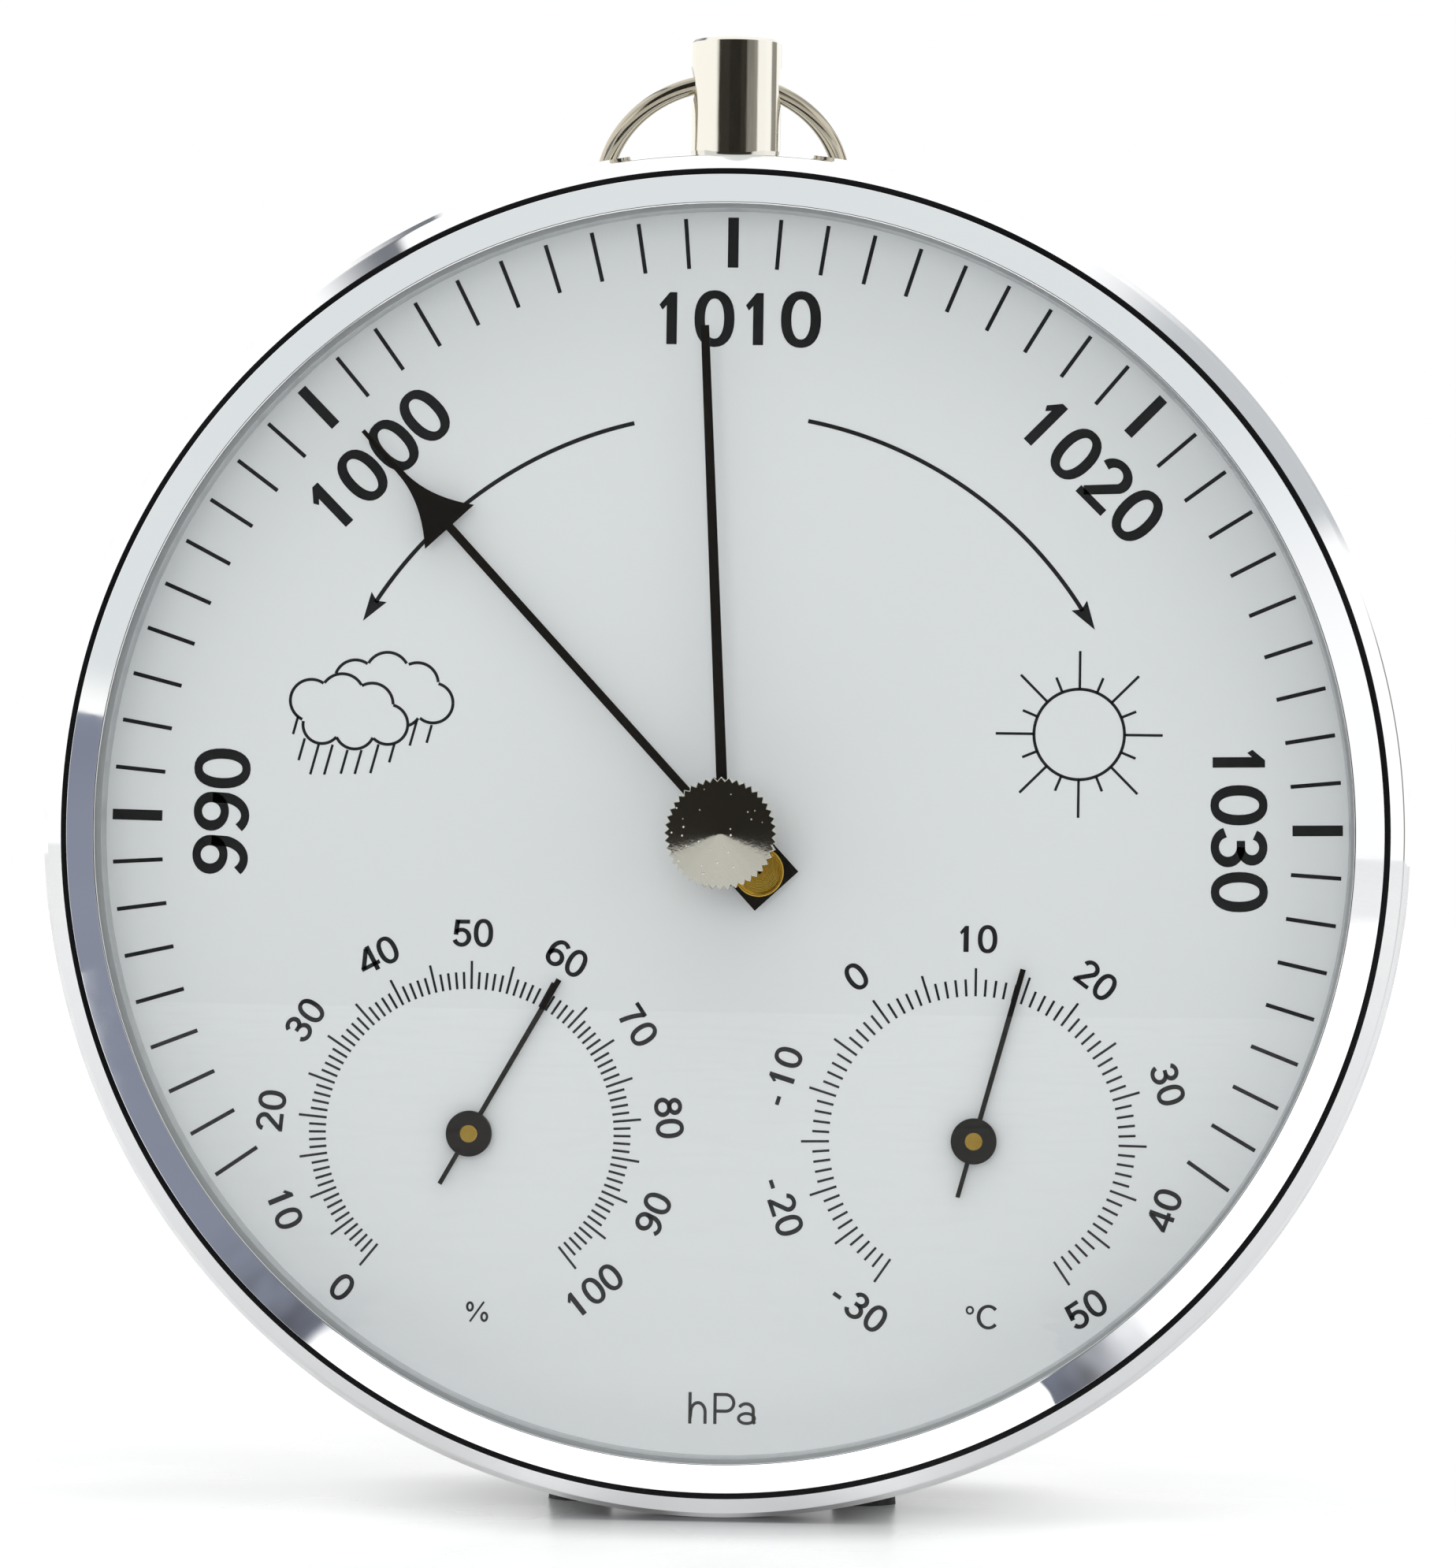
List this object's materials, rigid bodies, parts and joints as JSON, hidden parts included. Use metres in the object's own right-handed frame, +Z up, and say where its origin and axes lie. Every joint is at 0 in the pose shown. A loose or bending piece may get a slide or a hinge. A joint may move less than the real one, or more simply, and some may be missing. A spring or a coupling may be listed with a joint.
{
  "type": "weather station",
  "caption": "Round chrome desk weather station on its edge, with a barometer dial, humidity and temperature dials, set hand, toothed knob, stem and hanging ring.",
  "frame": {"origin": "bottom centre of the part's box, on the table that it stands on", "axes": "+Z up, the dial faces -Y, +X to the right as seen from the front"},
  "size_m": [0.136, 0.04, 0.1472],
  "materials": {
    "chrome": "mirror polish",
    "chrome_wire": "polished wire",
    "knob_chrome": "polished, toothed edge",
    "steel": "turned",
    "steel_strip": "rolled strip",
    "blued_steel": "blued",
    "glass": "clear, slightly domed",
    "rubber": "matt",
    "white_paint": "satin white",
    "dial_paint": "fine satin, pale cool grey",
    "hand_paint": "black satin",
    "brass": "turned",
    "spring_brass": "rolled spring strip",
    "brass_plate": "stamped sheet",
    "capsule_metal": "nickel-plated, corrugated",
    "cup_metal": "pressed sheet",
    "humidity_strip": "coated strip",
    "bimetal": "bimetal strip",
    "housing_plastic": "fine matt"
  },
  "bodies": {
    "case": {"case_ring": "chrome", "bezel": "chrome", "glass": "glass", "glass_gasket": "rubber", "light_ring": "white_paint", "dial_plate": "dial_paint", "stem": "chrome", "rear_housing": "housing_plastic", "housing_screws": "steel", "rubber_feet": "rubber", "front_bridge": "brass_plate", "rear_bridge": "brass_plate", "bridge_posts": "brass", "hairspring": "blued_steel", "movement_plate": "brass_plate", "movement_pillars": "brass", "pillar_screws": "steel", "capsule_carrier": "steel_strip", "capsule_base": "capsule_metal", "lever_bracket": "brass_plate", "rocker_bracket": "brass_plate", "hygrometer_cup": "cup_metal", "hygrometer_strip": "humidity_strip", "thermometer_cup": "cup_metal", "thermometer_strip": "bimetal"},
    "pointer": {"pointer": "hand_paint", "pointer_bush": "brass", "pointer_weight": "brass", "pointer_arbor": "steel", "pinion": "brass"},
    "sector": {"sector_gear": "brass", "sector_arbor": "steel"},
    "link": {"pull_link": "steel"},
    "rocker": {"rocking_shaft": "steel"},
    "lever": {"main_lever": "brass_plate", "lever_pin": "steel"},
    "capsule_front": {"capsule_top": "capsule_metal"},
    "set_hand": {"set_knob": "knob_chrome", "set_spindle": "steel", "friction_washer": "spring_brass", "set_hand": "hand_paint"},
    "hygrometer_hand": {"hygrometer_arbor": "steel", "hygrometer_hand": "hand_paint", "hygrometer_rivet": "brass"},
    "thermometer_hand": {"thermometer_arbor": "steel", "thermometer_hand": "hand_paint", "thermometer_rivet": "brass"},
    "ring": {"hanging_ring": "chrome_wire"},
    "adjuster": {"adjusting_screw": "brass"}
  },
  "joints": [
    {"name": "capsule_slide", "type": "slide", "parent": "case", "child": "capsule_front", "axis": [0, 1, 0], "range_m": [-0.00015415, 0.000315]},
    {"name": "lever_turn", "type": "hinge", "parent": "case", "child": "lever", "pos_m": [0, 0.00301, 0.044], "axis": [1, 0, 0], "range_deg": [-0.75, 0.37]},
    {"name": "rocker_turn", "type": "hinge", "parent": "case", "child": "rocker", "pos_m": [0.016, 0.00606, 0.09], "axis": [0, 0, 1], "range_deg": [-13.33, 6.52]},
    {"name": "link_slide", "type": "slide", "parent": "case", "child": "link", "axis": [1, 0, 0], "range_m": [-0.00193, 0.00095]},
    {"name": "sector_turn", "type": "hinge", "parent": "case", "child": "sector", "pos_m": [0, -0.00359, 0.0988], "axis": [0, 1, 0], "range_deg": [-16.77, 8.2]},
    {"name": "pointer_turn", "type": "hinge", "parent": "case", "child": "pointer", "pos_m": [0, 0, 0.068], "axis": [0, 1, 0], "range_deg": [-82.04, 167.65], "stiffness_Nm_per_rad": 0.001},
    {"name": "set_hand_turn", "type": "hinge", "parent": "case", "child": "set_hand", "pos_m": [0, -0.01599, 0.068], "axis": [0, 1, 0], "continuous": true},
    {"name": "hygrometer_hand_turn", "type": "hinge", "parent": "case", "child": "hygrometer_hand", "pos_m": [-0.02515, -0.00749, 0.0377], "axis": [0, 1, 0], "range_deg": [-170.61, 111.39], "stiffness_Nm_per_rad": 0.00002},
    {"name": "thermometer_hand_turn", "type": "hinge", "parent": "case", "child": "thermometer_hand", "pos_m": [0.02515, -0.00749, 0.0377], "axis": [0, 1, 0], "range_deg": [-160.89, 130.31], "stiffness_Nm_per_rad": 0.00002},
    {"name": "ring_swing", "type": "hinge", "parent": "case", "child": "ring", "pos_m": [0, -0.00569, 0.1426], "axis": [0.9962, 0.0872, 0], "range_deg": [0, 272]},
    {"name": "adjusting_screw_turn", "type": "hinge", "parent": "case", "child": "adjuster", "pos_m": [0, 0.02001, 0.037], "axis": [0, 1, 0], "range_deg": [-180, 180]}
  ],
  "couplings": [
    {"joint": "lever_turn", "follows": "capsule_slide", "rad_per_m": -41.667},
    {"joint": "rocker_turn", "follows": "capsule_slide", "rad_per_m": -737.18},
    {"joint": "link_slide", "follows": "capsule_slide", "ratio": -6.1186},
    {"joint": "sector_turn", "follows": "capsule_slide", "rad_per_m": -927.06},
    {"joint": "pointer_turn", "follows": "capsule_slide", "rad_per_m": 9270.6}
  ]
}
